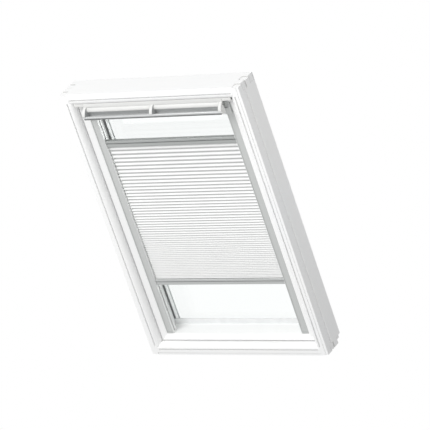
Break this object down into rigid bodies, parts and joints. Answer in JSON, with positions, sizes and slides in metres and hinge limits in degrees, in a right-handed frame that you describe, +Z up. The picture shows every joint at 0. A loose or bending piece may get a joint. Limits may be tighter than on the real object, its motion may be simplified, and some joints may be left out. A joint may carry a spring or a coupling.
{
  "type": "skylight window blind",
  "caption": "White centre-pivot roof window with a pleated blind held between two aluminium bars in side rails.",
  "frame": {"origin": "centre of the whole part's box, halfway up, across and through the window", "axes": "+X to the right seen from the room, +Y out of the room towards the weather, +Z up the slope of the roof"},
  "size_m": [0.78, 0.1488, 1.12],
  "materials": {
    "white_wood": "satin white lacquer",
    "white_plastic": "satin white",
    "rail_aluminium": "satin anodised, pale grey",
    "bar_aluminium": "satin anodised, light",
    "cover_metal": "matt grey lacquer",
    "zinc_steel": "zinc plated",
    "black_rubber": "matt",
    "clear_glass": "clear float glass",
    "spacer_metal": "dull silver",
    "pleated_fabric": "matt white pleated polyester",
    "filter_fleece": "open dark fleece"
  },
  "bodies": {
    "frame": {"cover_screw_lower_left": "zinc_steel", "cover_screw_lower_right": "zinc_steel", "cover_screw_upper_left": "zinc_steel", "cover_screw_upper_right": "zinc_steel", "frame_head": "white_wood", "frame_jamb_left": "white_wood", "frame_jamb_right": "white_wood", "frame_seal_lower": "black_rubber", "frame_seal_upper": "black_rubber", "frame_sill": "white_wood", "head_cover": "cover_metal", "jamb_cover_left": "cover_metal", "jamb_cover_right": "cover_metal", "pivot_bracket_left": "zinc_steel", "pivot_bracket_right": "zinc_steel", "sill_cover": "cover_metal", "strike_plate": "zinc_steel"},
    "sash": {"blind_rail_left": "rail_aluminium", "blind_rail_right": "rail_aluminium", "flap_hinge_block_left": "white_plastic", "flap_hinge_block_right": "white_plastic", "glazing_gasket": "black_rubber", "inner_pane": "clear_glass", "lock_case": "zinc_steel", "outer_pane": "clear_glass", "pivot_pin_left": "zinc_steel", "pivot_pin_right": "zinc_steel", "pivot_plate_left": "zinc_steel", "pivot_plate_right": "zinc_steel", "rail_bracket_left": "rail_aluminium", "rail_bracket_right": "rail_aluminium", "rail_foot_left": "rail_aluminium", "rail_foot_right": "rail_aluminium", "sash_cap_head": "cover_metal", "sash_cap_left": "cover_metal", "sash_cap_right": "cover_metal", "sash_cap_sill": "cover_metal", "sash_head": "white_wood", "sash_sill": "white_wood", "sash_stile_left": "white_wood", "sash_stile_right": "white_wood", "setting_block_left": "black_rubber", "setting_block_right": "black_rubber", "spacer_bar": "spacer_metal", "vent_filter": "filter_fleece"},
    "flap": {"bar_arm_left": "white_plastic", "bar_arm_middle": "white_plastic", "bar_arm_right": "white_plastic", "control_bar": "bar_aluminium", "flap_hinge_pin_left": "zinc_steel", "flap_hinge_pin_right": "zinc_steel", "grip_plate": "bar_aluminium", "vent_flap": "white_plastic"},
    "top_bar": {"pleated_cloth": "pleated_fabric", "top_bar": "rail_aluminium", "top_bar_slider_left": "white_plastic", "top_bar_slider_right": "white_plastic"},
    "bottom_bar": {"bottom_bar": "rail_aluminium", "bottom_bar_slider_left": "white_plastic", "bottom_bar_slider_right": "white_plastic"}
  },
  "joints": [
    {"name": "sash_pivot", "type": "hinge", "parent": "frame", "child": "sash", "pos_m": [0, 0.022, 0], "axis": [1, 0, 0], "range_deg": [0, 160]},
    {"name": "flap_hinge", "type": "hinge", "parent": "sash", "child": "flap", "pos_m": [0, -0.0409, 0.498], "axis": [1, 0, 0], "range_deg": [0, 25]},
    {"name": "top_bar_slide", "type": "slide", "parent": "sash", "child": "top_bar", "axis": [0, 0, 1], "range_m": [-0.08, 0.125]},
    {"name": "bottom_bar_slide", "type": "slide", "parent": "top_bar", "child": "bottom_bar", "axis": [0, 0, 1], "range_m": [-0.12, 0.47], "deforming": ["pleated_cloth"]}
  ]
}
